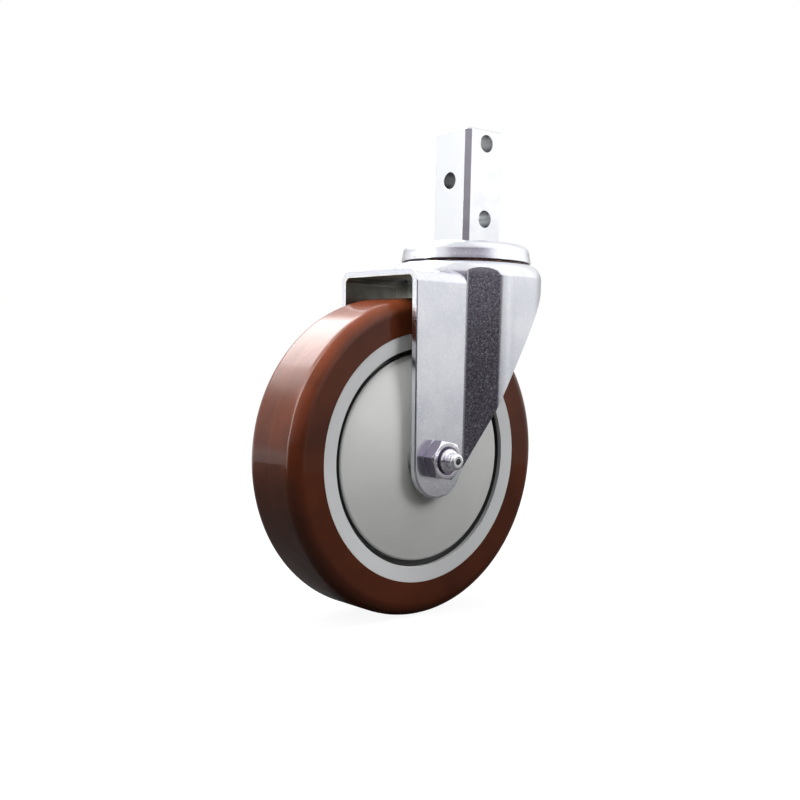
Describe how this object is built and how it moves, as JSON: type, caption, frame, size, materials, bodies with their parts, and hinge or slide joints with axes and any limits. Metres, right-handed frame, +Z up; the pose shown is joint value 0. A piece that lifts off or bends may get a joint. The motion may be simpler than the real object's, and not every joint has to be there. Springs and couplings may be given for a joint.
{
  "type": "swivel caster",
  "caption": "Swivel caster with a square stem, a pressed steel fork, a grey plastic core and a red-brown polyurethane tread.",
  "frame": {"origin": "on the swivel axis, on the top face of the raceway cap where the square stem leaves it", "axes": "+Z up the stem along the swivel axis; the axle runs along Y, its nut on the -Y side; the wheel trails towards -X"},
  "size_m": [0.1301, 0.0672, 0.1989],
  "materials": {
    "zinc_steel": "bright zinc plating, slightly grainy",
    "bearing_steel": "ground steel under a film of grease",
    "hub_plastic": "satin moulded, light grey",
    "cover_plastic": "smooth satin, mid grey",
    "seal_plastic": "matt, black",
    "polyurethane": "glossy, red-brown, slightly translucent"
  },
  "bodies": {
    "stem": {"square_stem": "zinc_steel", "raceway_cap": "zinc_steel", "lower_race": "zinc_steel"},
    "upper_ball_row": {"upper_balls": "bearing_steel"},
    "lower_ball_row": {"lower_balls": "bearing_steel"},
    "swivel_fork": {"fork": "zinc_steel", "axle_bolt": "zinc_steel", "axle_nut": "zinc_steel", "spanner_bushing": "bearing_steel", "near_thrust_washer": "zinc_steel", "far_thrust_washer": "zinc_steel", "grease_fitting": "zinc_steel", "check_spring": "bearing_steel"},
    "wheel": {"wheel_core": "hub_plastic", "tread": "polyurethane", "near_cover": "cover_plastic", "far_cover": "cover_plastic", "bearing_sleeve": "bearing_steel", "near_hub_seal": "seal_plastic", "far_hub_seal": "seal_plastic"},
    "roller_set": {"rollers": "bearing_steel", "roller_cage": "seal_plastic"},
    "grease_valve": {"check_ball": "bearing_steel"}
  },
  "joints": [
    {"name": "swivel", "type": "hinge", "parent": "stem", "child": "swivel_fork", "pos_m": [0, 0, 0], "axis": [0, 0, 1], "continuous": true},
    {"name": "upper_balls_roll", "type": "hinge", "parent": "stem", "child": "upper_ball_row", "pos_m": [0, 0, 0], "axis": [0, 0, 1], "continuous": true},
    {"name": "lower_balls_roll", "type": "hinge", "parent": "stem", "child": "lower_ball_row", "pos_m": [0, 0, 0], "axis": [0, 0, 1], "continuous": true},
    {"name": "wheel_spin", "type": "hinge", "parent": "swivel_fork", "child": "wheel", "pos_m": [-0.0345, 0, -0.0878], "axis": [0, 1, 0], "continuous": true},
    {"name": "roller_orbit", "type": "hinge", "parent": "swivel_fork", "child": "roller_set", "pos_m": [-0.0345, 0, -0.0878], "axis": [0, 1, 0], "continuous": true},
    {"name": "grease_valve_slide", "type": "slide", "parent": "swivel_fork", "child": "grease_valve", "axis": [0, 1, 0], "range_m": [0, 0.0008], "stiffness_N_per_m": 200, "springref_m": -0.0006, "deforming": ["check_spring"]}
  ],
  "couplings": [
    {"joint": "upper_balls_roll", "follows": "swivel", "ratio": 0.5},
    {"joint": "lower_balls_roll", "follows": "swivel", "ratio": 0.5},
    {"joint": "roller_orbit", "follows": "wheel_spin", "ratio": 0.6216}
  ]
}
